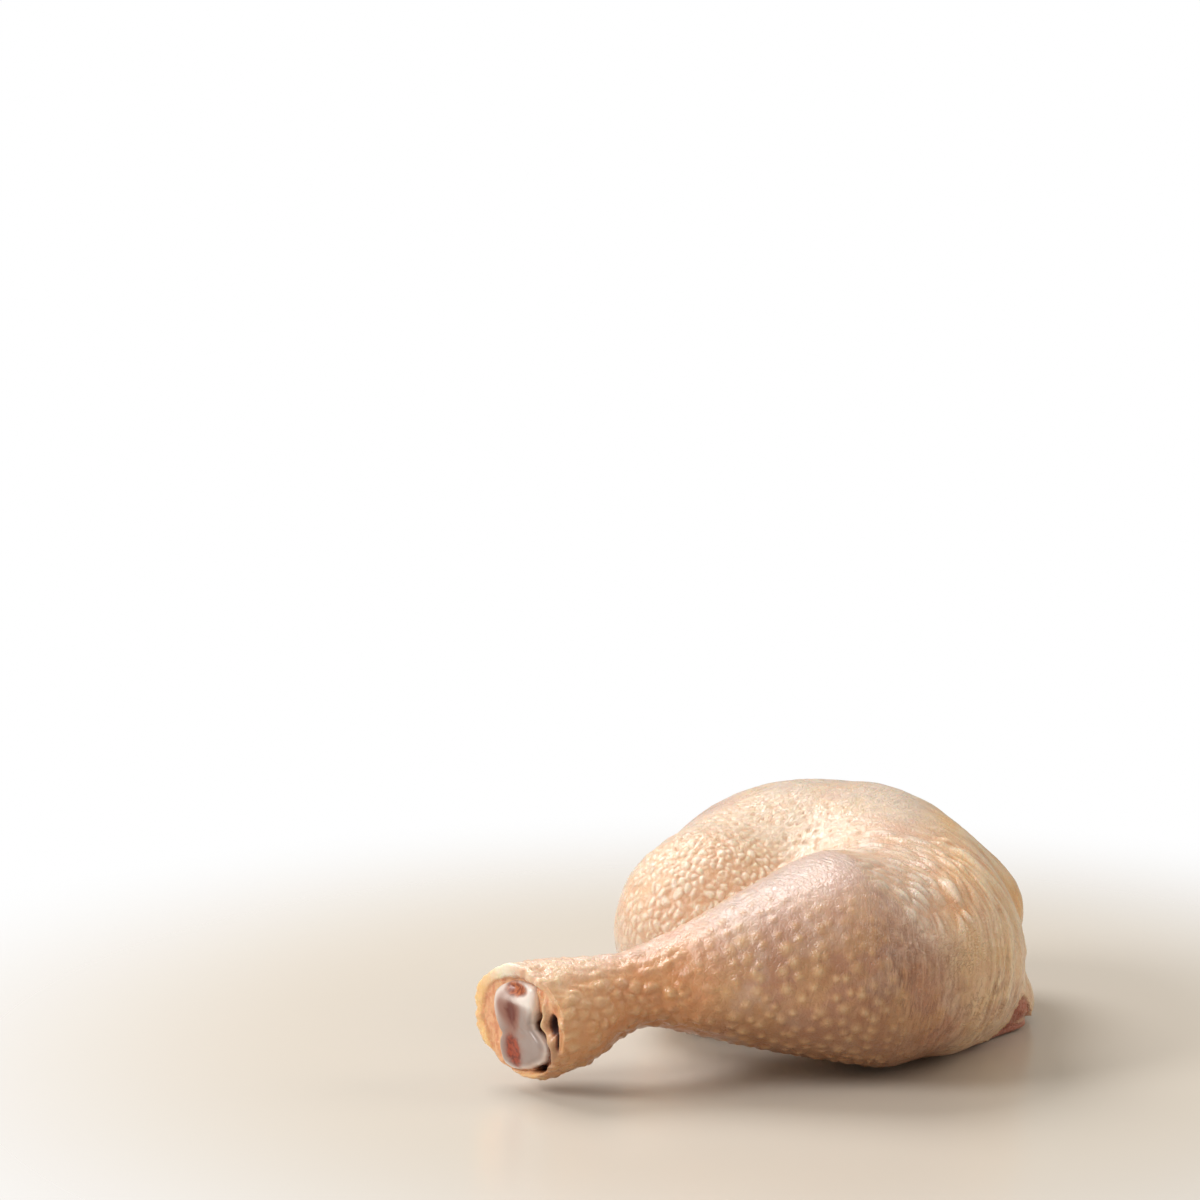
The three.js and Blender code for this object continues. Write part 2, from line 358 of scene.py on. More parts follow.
def regions(places, normals):
    """Shares of each kind of surface at each place."""
    s, angle, radius, out = on_drumstick(places)
    hock = on_hock(places)
    warp = clouds(places, 9, 11, 2)
    end = np.interp(angle, CALF_END[:, 0], CALF_END[:, 1]) + 2.5 * warp
    blend = 5 + 9 * smoothstep(angle, 130, 180)
    calf = smoothstep((end + 2 - s) / blend, 0, 1) * smoothstep(-out, -5.5, -2.5)

    # Bare meat: the cut that took the thigh off the back, below the skin's edge, and at the knee
    hip = (places - HIP) @ HIP_OUT + 0.7 * clouds(places, 5, 12, 2)
    back = smoothstep(hip, -1.6, -0.9) * smoothstep(-normals[:, 2], -0.75, -0.45)
    edge = 2.2 + 1.2 * clouds(places, 6, 13, 2)
    under = smoothstep(edge - places[:, 2], -0.4, 0.4) * smoothstep(out, 1.5, 3.5)
    wedge_top = np.interp(places[:, 1], WEDGE_TOP[:, 0], WEDGE_TOP[:, 1])
    wedge_top += 0.7 * warp + 0.5 * clouds(places, 2.6, 61)
    wedge = smoothstep(wedge_top - places[:, 2], -0.35, 0.35) * smoothstep(places[:, 0], 46, 50)
    wedge = wedge * smoothstep(places[:, 1], -13, -11) * smoothstep(12 - places[:, 1], 0, 1.5)
    meat = np.maximum.reduce([back, under, wedge])
    return {
        "s": s, "angle": angle, "radius": radius, "out": out, "hock": hock, "calf": calf,
        "meat": meat * smoothstep(s, -30, -20),
        "wedge": wedge * (1 - 0.7 * smoothstep(places[:, 1], 3, 7)),
        "shank": smoothstep(-s, 36, 50) * smoothstep(-out, -5, -3),
        "cuff": smoothstep(-s, 62, 72) * smoothstep(-out, -6, -4)}


def knee_arcs(places):
    """Distance from a point in the calf, and the way round it, as the folds of the knee run."""
    right = places[:, 0] - KNEE_CENTRE[0]
    up = 0.87 * (places[:, 2] - KNEE_CENTRE[2]) + 0.5 * (places[:, 1] - KNEE_CENTRE[1])
    return np.hypot(right, up), 30 * np.arctan2(up, right)


def calf_pores(places, r):
    """Pores of the calf, flatter on its top, fainter below and fading towards the knee."""
    near = follicles(r["s"], r["angle"], r["radius"])
    on_top = facing(r, 102, 38) * smoothstep(r["s"], -42, -18)
    share = r["calf"] * (1 - 0.6 * r["shank"]) * smoothstep(12 - r["s"], 0, 22) * (1 - 0.85 * on_top)
    mound = (1 - (1 - near) ** 2) ** 1.6
    high = share * (FOLLICLE["high"] * mound + FOLLICLE["tip"] * smoothstep(near, 0.3, 0.95))
    faint = (1 - 0.25 * smoothstep(r["angle"], 180, 215)) * (0.85 + 0.3 * clouds(places, 7, 64))
    faint = faint * (1 - 0.35 * facing(r, 118, 34))
    return high * (0.75 + 0.25 * clouds(places, 14, 21)), {"pore": share * near * faint}


def shank_cobbles(places, r):
    """Cobbled skin of the shank and cuff: soft lumps on top, small beads at the sides."""
    along = rotate(places, UP, -17) + 0.8 * clouds(places, 3, 22)[:, None]
    top = facing(r, 92, 40)
    middle, crease, own = pebbles(along, (3.3, 2.7, 2.7), 23)
    bead = np.clip(1 - middle / 0.72, 0, 1) * (0.35 + 0.65 * own)
    domed = smoothstep(crease, 0.0, 0.55)
    wrinkled = r["cuff"] * facing(r, 110, 44)
    side = r["shank"] * (1 - 0.85 * np.maximum(top, wrinkled)) * (1 - 0.5 * facing(r, 265, 45))
    high = side * (RELIEF["dome"] * domed + RELIEF["bead"] * smoothstep(bead, 0, 0.8) - 0.35)
    small = smoothstep(0.7 - pebbles(along, (1.8, 1.6, 1.6), 45)[0], 0.0, 0.6)
    high += RELIEF["small bead"] * (r["cuff"] - 0.8 * wrinkled) * (small - 0.4)
    middle, own_lump = pebbles(along, (4.8, 3.4, 3.4), 54)[::2]
    lump = smoothstep(0.75 - middle, 0.0, 0.65) * (0.4 + 0.6 * own_lump)
    high += RELIEF["shank lump"] * r["shank"] * (1 - r["cuff"]) * top * (lump - 0.35)

    # Lengthwise wrinkles on the top of the cuff, which gather at its rim
    round_way = r["angle"] * r["radius"] / RADIAN
    wrapped = np.stack([r["s"] / 9, round_way / 2.0, np.zeros(len(high))], axis=1)
    gather = ridges(clouds(wrapped + 0.35 * clouds(places, 4, 24)[:, None], 1, 25, 2))
    high += RELIEF["cuff wrinkle"] * wrinkled * gather
    furrow = 0.5 * wrinkled * smoothstep(-gather, -0.1, 0.6)
    return high, {
        "groove": side * (1 - domed) * (1 - 0.3 * small) + furrow,
        # Painted highlight on the tops of the cuff's wrinkles
        "pore": 0.85 * side * bead, "fold": 0.6 * wrinkled * smoothstep(gather, 0.3, 0.9),
        # Painted sheen on the shank's top, which also paints the rim paler on top
        "pale": r["shank"] * top * (0.5 + 0.5 * lump)}


# Where the thigh has goose bumps, and where it has pits above them: middles and half sizes
GOOSE = ((-13, -3, 34), (21, 14, 16))
PITTED = ((0, 5, 46), (24, 17, 12))


def goose_skin(places, thigh):
    """Goose bumps of the thigh beside the crease, turning into a net with small pits further up."""
    here = smoothstep(1.5 - far_from(places, *GOOSE), 0, 0.8) * thigh
    bent = rotate(places, UP, 25) + 0.9 * clouds(places, 3.5, 26, 2)[:, None]
    gap, own = pebbles(bent, (1.9, 2.0, 3.0), 27)[1:]
    rough = clouds(bent, (1.3, 1.3, 2.4), 55, 2)
    bumps = smoothstep(gap, 0.0, 0.5) * (0.6 + 0.4 * own) + 0.22 * rough
    high = RELIEF["goose bump"] * here * (bumps - 0.4)
    net_here = smoothstep(1.5 - far_from(places, *PITTED), 0, 0.7) * thigh * (1 - 0.25 * here)
    middle, own_pit = pebbles(bent, (2.3, 2.0, 2.2), 46)[::2]
    pits = smoothstep(0.45 - middle, 0, 0.35) * smoothstep(own_pit, 0.1, 0.3)
    net = clouds(bent, (1.6, 1.6, 1.6), 56, 2)
    high += net_here * (RELIEF["net"] * net - RELIEF["pit"] * pits)
    lined = np.maximum(smoothstep(-net, 0.1, 0.6), 1.2 * pits)
    groove = 0.7 * here * smoothstep(0.38 - bumps, 0, 0.35) + 0.45 * net_here * lined
    # Painted highlight on the tops of the bumps and of the net
    top = np.maximum(here * smoothstep(bumps, 0.25, 0.65), 0.3 * net_here * (1 - pits))
    goose = np.maximum(here, 0.55 * net_here)
    return high, {"groove": groove, "goose": goose, "painted_bump_highlight": top}


def knee_folds(places, r, arc, way, skin):
    """Plump ridges on top of the knee, and sharper folds that run round its far end."""
    wavy = 0.35 * clouds(places, 9, 28)[:, None]
    knee = smoothstep(places[:, 0], 34, 46) * smoothstep(places[:, 2], 2, 26) * skin
    knee = knee * smoothstep(28 - places[:, 1], 0, 14) * smoothstep(arc, 24, 36)
    folds_at = np.stack([arc / 1.25, way / 20, places[:, 1] / 16], axis=1)
    folds = ridges(clouds(folds_at + wavy, 1, 29, 2))
    high = RELIEF["knee fold"] * knee * (folds - 0.2)
    beside = smoothstep(places[:, 0], 12, 20) * smoothstep(62 - places[:, 0], 0, 20)
    beside = beside * smoothstep(places[:, 2], 30, 40) * smoothstep(10 - places[:, 1], 0, 14)
    beside = beside * (1 - r["calf"]) * skin
    plump_at = np.stack([arc / 2.0, way / 9.5, np.zeros(len(arc))], axis=1)
    slit, own = pebbles(plump_at + wavy, 1, 48)[1:]
    plump = smoothstep(slit, 0, 0.55) * (0.4 + 0.6 * own)
    high += RELIEF["plump ridge"] * beside * (plump - 0.35)
    slits = 0.55 * beside * smoothstep(0.3 - plump, 0, 0.3)
    return high, {
        # Painted highlights on the tops of the folds and of the plump ridges
        "fold": knee * smoothstep(folds, 0.4, 0.9), "knee": np.maximum(knee, beside),
        "groove": slits + 0.5 * knee * smoothstep(-folds, 0.0, 0.7),
        "painted_bump_highlight": 0.8 * beside * smoothstep(plump, 0.4, 0.8)}


def fine_wrinkles(places, r, arc, way, skin):
    """Hair-fine wrinkles: rings round the calf, and arcs over the thigh and the knee, with masks of
    painted shade in the rings' creases and of painted highlight on the arcs.
    """
    wavy = 0.5 * clouds(places, 4, 30)[:, None]
    slanting = r["s"] + 0.06 * r["angle"]
    round_way = r["angle"] * r["radius"] / RADIAN
    rings_at = np.stack([slanting / 1.2, round_way / 8, arc / 20], axis=1)
    rings = ridges(clouds(rings_at + wavy, 1, 31, 2))
    arcs_at = np.stack([arc / 1.2, way / 12, places[:, 1] / 30], axis=1)
    arcs = ridges(clouds(arcs_at + wavy, 1, 57, 2))
    here = smoothstep(clouds(places, 8, 58, 2), -0.35, 0.3)
    beside_knee = smoothstep(r["s"], -20, 4) * smoothstep(320 - r["angle"], 0, 60)
    front = 0.7 * beside_knee * smoothstep(r["angle"], 140, 175)
    front = front * smoothstep(275 - r["angle"], 0, 50) * skin
    ringed = np.maximum(beside_knee * smoothstep(r["angle"], 112, 140) * r["calf"], front)
    calf = np.maximum(r["calf"] * (1 - r["shank"]) * 0.07, 0.3 * ringed * here)
    thigh = (1 - r["calf"]) * skin * (0.08 + 0.12 * here)
    # Painted shade in the sunken creases of the rings
    crease = smoothstep(rings, 0.45, 0.95) * ringed * here
    # Painted highlight on the raised arcs of the thigh
    light = smoothstep(arcs, 0.3, 0.9) * (1 - r["calf"]) * skin * (0.4 + 0.6 * here)
    return thigh * arcs - calf * rings, {"crease": crease, "wrinkle": light, "ringed": ringed}


def relief(places, r):
    """Height of the skin over its smooth form, and the masks that its colours use."""
    skin = 1 - r["meat"]
    thigh = (1 - r["calf"]) * skin
    arc, way = knee_arcs(places)
    high = RELIEF["broad"] * skin * clouds(places, 13, 32, 2) * smoothstep(places[:, 2], 0, 6)
    high += RELIEF["fine"] * skin * clouds(places, 4.5, 33, 2)
    # The calf's top, painted paler there as a sheen, and given finer ripples
    crown = r["calf"] * facing(r, 92, 48)
    masks = {"warm": smoothstep(places[:, 0], 33, 46) * skin, "crown": crown, "wedge": r["wedge"]}
    for more, shares in (
            calf_pores(places, r), shank_cobbles(places, r), goose_skin(places, thigh),
            knee_folds(places, r, arc, way, skin), fine_wrinkles(places, r, arc, way, skin)):
        high += more
        for name, share in shares.items():
            masks[name] = np.maximum(masks.get(name, 0.0), share)

    # Meat: bundles of fibres, sunk below the edge of the skin, which rolls over it
    grain_at = rotate(rotate(places, UP, -8), (1, 0, 0), 20) + 0.8 * clouds(places, 7, 34)[:, None]
    fibre = ridges(clouds(grain_at, (16, 2.4, 2.4), 35, 3))
    seam = pebbles(grain_at + 2.0 * clouds(places, 11, 59)[:, None], (24, 10, 11), 60)[1]
    bulging = smoothstep(seam, 0.0, 0.45)
    bulk = RELIEF["fibre"] * fibre + RELIEF["uneven meat"] * clouds(places, 8, 36, 2)
    high += r["meat"] * (bulk + RELIEF["bundle"] * bulging - RELIEF["sunk meat"])
    at_edge = np.exp(-((r["meat"] - 0.25) / 0.22) ** 2) * (r["meat"] > 0.001)
    high += RELIEF["rolled edge"] * at_edge
    masks["fibre"] = smoothstep(fibre, 0.2, 0.95) * (0.3 + 0.7 * bulging)
    masks["seam"] = smoothstep(0.08 + 0.04 * fibre - seam, 0, 0.07)
    lay = {
        "round_calf": np.stack([r["s"], r["angle"] * LAY_RADIUS / RADIAN, 0 * arc], axis=1),
        "round_knee": np.stack([arc, way, places[:, 1] / 3], axis=1)}
    return high, masks, lay


# The cut hock: flesh inside the rim of skin, cords of tendon and the dark holes between them

# The rim's inner edge, then holes and tendons by middle, half sizes, and depth or height
DISH_MIDDLE = (0.5, -1.0)
DISH = [
    (-12.6, -1.0), (-12.0, 3.0), (-10.3, 6.0), (-6.5, 8.8), (-1.3, 10.2), (3.0, 10.4), (7.8, 9.5),
    (11.2, 7.2), (13.4, 3.6), (14.0, -0.7), (13.8, -4.9), (11.9, -8.3), (8.8, -10.7), (4.3, -11.8),
    (-2.7, -13.0), (-7.0, -12.2), (-9.4, -9.5), (-10.8, -5.9)]
HOLES = [
    ((7.1, -0.4), (1.5, 2.2), 3.0), ((11.6, 1.0), (1.2, 2.1), 2.6), ((12.9, -2.6), (0.4, 2.6), 1.6),
    ((6.3, -10.6), (1.9, 0.6), 1.4), ((10.6, -7.8), (0.3, 0.3), 1.0)]
TENDONS = [
    ((9.5, 4.0), (0.8, 2.6), 1.2), ((9.4, 0.6), (0.5, 1.7), 1.7), ((11.0, -2.9), (1.2, 1.6), 0.9),
    ((11.8, -5.8), (1.1, 2.4), 0.9), ((10.3, -9.2), (1.2, 1.5), 0.8)]

# The outline of the bone's joint face on the same cut
BONE_MIDDLE = (0.6, -1.4)
BONE_OUTLINE = [
    (-0.5, 8.8), (-5.0, 7.4), (-7.8, 5.3), (-8.5, 2.2), (-7.9, -0.7), (-6.9, -2.7), (-6.4, -4.6),
    (-6.8, -6.7), (-6.5, -9.6), (-5.5, -11.6), (-2.7, -12.3), (1.4, -11.6), (5.9, -9.9), (9.2, -8.0),
    (10.3, -5.5), (9.7, -4.2), (7.8, -2.7), (6.0, -1.6), (5.3, 0.1), (5.7, 2.2), (6.2, 4.7),
    (6.2, 7.1), (5.4, 8.5), (4.1, 8.7), (2.0, 8.9)]


def hock_depth(hock, places):
    """How deep the flesh lies inside the rim of skin, with masks of its holes and tendons."""
    flat = hock[:, :2]
    beside = across_outline(flat, BONE_OUTLINE, BONE_MIDDLE)
    gap = np.exp(-((beside - 1.04) / 0.07) ** 2) * smoothstep(hock[:, 0], 2, 6)
    gap = gap * smoothstep(3.2 - hock[:, 1], 0, 2.5)
    holes = sum(depth * spot(flat, middle, half) for middle, half, depth in HOLES)
    tendons = sum(tall * spot(flat, middle, half) for middle, half, tall in TENDONS)
    folds = ridges(clouds(hock * np.array([0.5, 0.27, 0.3]), 1, 41, 2))
    uneven = 0.3 * folds + 0.25 * clouds(places, 4, 42)
    level = 1.5 - 0.9 * smoothstep(-hock[:, 0], 2, 7) - 1.0 * smoothstep(hock[:, 0], 7.5, 9.5)
    deep = level + uneven + holes + 1.0 * gap - tendons
    # The holes and the gap beside the bone make the mask that paints them dark as shade
    return deep, np.clip(smoothstep(holes, 0.3, 1.3) + 0.7 * gap, 0, 1), np.clip(tendons, 0, 1)


# What fills the leg: how much wider than the bone, how far back from the cut, and a rounded plug
# in the hollow of the hock with its half sizes to the right, up and out
FILLER_WIDER = 0.8
SHAFT_RADIUS = 4.5
FILLER_BACK = 3.2
PLUG = (11.2, 11.0, 3.2)
PLUG_DEEP = 4.4


def filled_leg():
    """The leg as one closed mesh, with the channel of the bone and most of the hollow in the hock
    filled, because flesh fills them."""
    bone_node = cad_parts["shin_bone"]
    bone = places_of(bone_node.data)
    rel = bone - bone.mean(axis=0)
    swollen = bone + FILLER_WIDER * (rel - ALONG * (rel @ ALONG)[:, None]) / SHAFT_RADIUS
    pushed = swollen - np.outer(np.maximum(FILLER_BACK - on_hock(bone)[:, 2], 0), HOCK_OUT)
    filler = copy_of(bone_node, "filler", pushed)
    bpy.ops.mesh.primitive_uv_sphere_add(segments=48, ring_count=24, radius=1)
    plug = bpy.context.active_object
    basis = np.stack([HOCK_RIGHT * PLUG[0], HOCK_UP * PLUG[1], HOCK_OUT * PLUG[2]], axis=1) * MM
    plug.data.transform(Matrix(basis.tolist()).to_4x4())
    plug.data.transform(Matrix.Translation(Vector((HOCK - HOCK_OUT * PLUG_DEEP) * MM)))
    return remeshed([copy_of(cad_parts["leg_meat"], "leg"), filler, plug], "leg", SKIN_VOXEL)


def rounded_off(places, edges):
    """Softens the small steps of the mesh, and levels the filled channel inside the leg."""
    inward = on_hock(places)[:, 2]
    places = smoothed(places, edges, 5, 0.6)
    places = smoothed(places, edges, 34, 0.75 * smoothstep(inward, 2.0, 9.0))
    places[:, 2] = np.maximum(places[:, 2], 0.0)
    return places


def cut_hock(places, hock):
    """How the rim and the flesh inside it move to shape the cut hock, with the masks of its parts."""
    across = across_outline(hock[:, :2], DISH, DISH_MIDDLE) + 0.03 * clouds(places, 2.5, 44, 2)
    inside = smoothstep(1 - across, 0, 0.07) * smoothstep(6.5 - hock[:, 2], 0, 1.5)
    deep, holes, tendons = hock_depth(hock, places)
    shift = -np.outer(inside * (deep - hock[:, 2]), HOCK_OUT)

    # The skin is cut back further on the right of the hock, where the tendons show
    cut_back = 1.0 * smoothstep(hock[:, 0], 5, 12.5) * smoothstep(across, 0.9, 1.0)
    shift -= np.outer(np.maximum(cut_back - hock[:, 2], 0) * (1 - inside) * (hock[:, 2] < 4), HOCK_OUT)

    # The yellow edge of the skin, rolled outward on the left of the hock
    yellow_side = smoothstep(-hock[:, 0], -2, 4)
    lip = np.exp(-(hock[:, 2] / 2.2) ** 2) * smoothstep(across, 0.97, 1.08) * (1 - inside)
    outward = np.outer(hock[:, 0], HOCK_RIGHT) + np.outer(hock[:, 1], HOCK_UP) + 0.5 * HOCK_OUT
    outward = outward / np.linalg.norm(outward, axis=1)[:, None]
    scallop = 1.0 + 0.2 * clouds(places, 5, 49)
    on_top = smoothstep(hock[:, 1], 5.5, 10)
    rolled = lip * scallop * (0.25 + 0.85 * yellow_side * (1 - 0.7 * on_top))
    drawn_in = 0.7 * on_top * smoothstep(across, 0.6, 1.0) * np.exp(-(hock[:, 2] / 7) ** 2)
    shift += outward * (rolled - drawn_in)[:, None]
    yellow_side = np.maximum(yellow_side, 0.5 * smoothstep(-hock[:, 1], 8, 11))
    rim = smoothstep(3.5 + 2.5 * clouds(places, 5, 43) - hock[:, 2], 0, 3) * (1 - inside) * yellow_side
    # Painted shade on the flesh low on the right of the hock, among the tendons
    hock_shade = smoothstep(hock[:, 0], 6.5, 8.5) * smoothstep(-hock[:, 1], 1.5, 4)
    return shift, {
        "rim": rim, "tissue": inside, "hole": holes * inside, "tendon": tendons * inside,
        "hock_shade": hock_shade * inside}


# The fold of fat at the far side of the knee: its middle, and how far its bulge and colour reach
FAT_FOLD = (60, 21, 30)
FAT_BULGE = (8, 9, 9)
FAT_COLOUR = (9, 10, 10)
FAT_HIGH = 1.1

# The brown edge above that fold, and a patch of painted shade in the calf's middle: middles and half
# sizes
BROWN_EDGE = ((44, 13, 49.5), (3, 7, 2.5))
SHADED_CALF_MIDDLE = ((12, -51.4, 31), (12, 9, 7))


def tinted_spots(places, normals, r):
    """Masks of painted shade on the drumstick's undersides, low down and in the calf's middle, and of
    the yellow fat at the knee.
    """
    # Painted shade: darker low on the calf, on surfaces that face down, and in a patch in the calf's
    # middle
    low = smoothstep(14 - places[:, 2], 0, 10) * smoothstep(r["s"], -40, -10)
    below = smoothstep(-normals[:, 2], -0.1, 0.75) * smoothstep(12 - r["s"], 0, 12)
    below = below * smoothstep(-r["out"], -5, -2) * (1 - 0.4 * r["cuff"])
    shaded_middle = 0.5 * spot(places, *SHADED_CALF_MIDDLE) * r["calf"]
    fat = spot(places, FAT_FOLD, FAT_COLOUR) + 0.6 * spot(places, *BROWN_EDGE)
    return {"low": np.maximum.reduce([0.6 * low * r["calf"], below, shaded_middle]), "fat": fat}


def make_leg():
    """The skin and meat of the leg as one closed piece, coloured by masks."""
    leg = filled_leg()
    mesh = leg.data
    quads = quads_of(mesh)
    places = rounded_off(places_of(mesh), edges_of(mesh))
    normals = normals_of(places, quads)
    r = regions(places, normals)
    high, masks, lay = relief(places, r)
    shift, hock_masks = cut_hock(places, r["hock"])
    rest_on = smoothstep(places[:, 2], 0.0, 1.2)
    calm = (1 - hock_masks["tissue"]) * (1 - 0.7 * hock_masks["rim"])
    rise = high * calm * rest_on + FAT_HIGH * spot(places, FAT_FOLD, FAT_BULGE)
    moved = places + normals * rise[:, None] + shift
    moved[:, 2] = np.maximum(moved[:, 2], 0.0)
    set_places(mesh, moved)

    # The masks and flows that the colours use
    hock_masks["rim"] = hock_masks["rim"] * smoothstep(-r["s"], 60, 70)
    kinds = {name: r[name] for name in ("calf", "shank", "meat", "cuff")}
    spots = tinted_spots(places, normals, r)
    for name, values in {**masks, **hock_masks, **kinds, **spots}.items():
        set_mask(mesh, name, values)
    for name, flow in lay.items():
        kept = mesh.attributes.new(name, "FLOAT_VECTOR", "POINT")
        kept.data.foreach_set("vector", flow.astype(np.float32).ravel())

    thin = leg.modifiers.new("thin", "DECIMATE")
    thin.ratio = SKIN_TRIANGLES / (2 * len(quads))
    applied(leg)
    return leg


# The bone end, with its joint face

# Hollows of the joint face: middle, half sizes, depth
BONE_HOLLOWS = [
    ((-0.4, 7.0), (3.6, 1.5), 1.7), ((-2.3, 0.3), (2.3, 3.6), 0.6), ((-1.9, -7.3), (2.7, 3.6), 0.55),
    ((-6.6, -4.4), (2.4, 0.8), 0.8), ((4.0, 4.0), (3.0, 3.0), 0.35), ((5.0, -2.0), (3.4, 2.6), 0.4)]

# Coloured spots of the joint face, and spots of painted highlight: middle, half sizes, and a share for
# the corners of painted highlight
MARROW = ((-0.8, -7.4), (3.3, 4.3))
TOP_HOLLOW = ((-0.2, 7.0), (4.6, 1.8))
HIGHLIGHT_BAND = ((0.6, 4.9), (4.4, 1.1))
HIGHLIGHT_CORNERS = [((-6.6, 5.0), (2.4, 4.6), 1.0), ((6.0, 6.0), (2.2, 3.4), 1.2)]
BRUISE = ((-1.1, 1.6), (2.1, 3.5))
STAIN = [((-3.4, 3.4), (4.4, 3.6)), ((-1.0, 1.2), (3.2, 4.4)), ((-0.9, -7.5), (4.6, 4.8))]

# Directions round the joint face in which its outline is measured
TURNS = 48


def outlined(hock):
    """Places on the cut pulled to the outline that shows, how far each lies inside that outline, and
    how far each belongs to the joint end."""
    flat = hock[:, :2]
    turn, far = polar(flat, BONE_MIDDLE)
    face = (hock[:, 2] > 1.0) & (hock[:, 2] < 4.5)
    bins = np.linspace(-math.pi, math.pi, TURNS + 1)
    slots = np.clip(np.digitize(turn, bins) - 1, 0, TURNS - 1)
    wide = np.array([far[face & (slots == i)].max(initial=4.0) for i in range(TURNS)])
    wide = (wide + np.roll(wide, 1) + np.roll(wide, -1)) / 3
    mids = (bins[:-1] + bins[1:]) / 2
    now = np.interp(turn, mids, wide, period=2 * math.pi)
    wanted = far / across_outline(flat, BONE_OUTLINE, BONE_MIDDLE)
    share = smoothstep(13 - hock[:, 2], 0, 8)
    grow = 1 + (1.02 * wanted / now - 1) * share
    middle = np.array(BONE_MIDDLE)
    return middle + (flat - middle) * grow[:, None], np.clip(1 - far / now, 0, 1), share


def joint_masks(places, hock, flat, edge, front, inward):
    """Masks of the joint face's colours, of its painted highlights and of the painted shade in its
    notch.
    """
    ragged = spot(flat, *MARROW) + 0.18 * clouds(places, 0.9, 52, 2) + 0.12 * clouds(places, 2.5, 53)
    highlight_band = spot(flat, *HIGHLIGHT_BAND)
    stain = sum(spot(flat, middle, half) for middle, half in STAIN) + 0.2 * clouds(places, 2.5, 62)
    sunk = spot(flat, *TOP_HOLLOW)
    hollow_rim = np.exp(-((sunk - 0.22) / 0.16) ** 2) * smoothstep(9.5 - flat[:, 1], 0, 2)
    notch = inward + 0.9 * np.exp(-((hock[:, 1] + 0.5) / 3) ** 2)
    in_notch = smoothstep(hock[:, 0], 1.5, 4.5) * smoothstep(3.5 - hock[:, 1], 0, 2)
    bruise = spot(flat, *BRUISE) + 0.25 * clouds(places, 1.0, 65, 2)
    # Painted highlights along the face's edge, at its corners, on the band under the top hollow and
    # round that hollow
    highlight_edge = np.exp(-((edge - 0.08) / 0.06) ** 2) * front
    corners = sum(share * spot(flat, middle, half) for middle, half, share in HIGHLIGHT_CORNERS) + highlight_band
    return {
        "marrow": smoothstep(ragged, 0.3, 0.72) * front,
        "stain": smoothstep(stain, 0.3, 1.1) * (1 - 0.9 * highlight_band) * front,
        "hollow": smoothstep(sunk + 0.12 * clouds(places, 0.9, 63, 2), 0.35, 0.75) * front,
        "side": smoothstep(inward, 1.0, 2.6),
        # Painted shade on the bone's wall deep in the notch
        "dark": smoothstep(notch, 1.5, 2.5) * in_notch,
        "bruise": smoothstep(bruise, 0.1, 0.9) * front,
        "bone_highlight": 0.55 * highlight_edge + corners + hollow_rim * front}


def make_bone():
    """The shin bone, with the joint face that shows at the hock shaped finely."""
    bone = remeshed([copy_of(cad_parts["shin_bone"], "bone")], "bone", BONE_VOXEL)
    mesh = bone.data
    edges = edges_of(mesh)
    places = smoothed(places_of(mesh), edges, 14, 0.6)
    hock = on_hock(places)
    flat, edge, share = outlined(hock)

    # A rounded joint face, its hollows sunk in
    front = smoothstep(6 - hock[:, 2], 0, 2) * smoothstep(edge, 0.0, 0.05)
    level = 1.9 - 2.8 * np.sqrt(1 - (1 - np.clip(edge / 0.4, 0, 1)) ** 2)
    hollow = sum(depth * spot(flat, middle, half) for middle, half, depth in BONE_HOLLOWS)
    level = level + hollow + 0.12 * clouds(places, 1.6, 51, 2)
    deep = hock[:, 2] + front * share * (level - hock[:, 2])
    moved = smoothed(from_hock(flat[:, 0], flat[:, 1], deep), edges, 3, 0.5)
    set_places(mesh, moved)
    inward = on_hock(moved)[:, 2]
    for name, values in joint_masks(places, hock, flat, edge, front, inward).items():
        set_mask(mesh, name, values)
    return bone


# Materials

def colour(red, green, blue):
    """A colour given as it looks on a screen, from 0 to 255, as a shader takes it."""
    linear = [((c / 255 + 0.055) / 1.055) ** 2.4 for c in (red, green, blue)]
    return (*linear, 1.0)


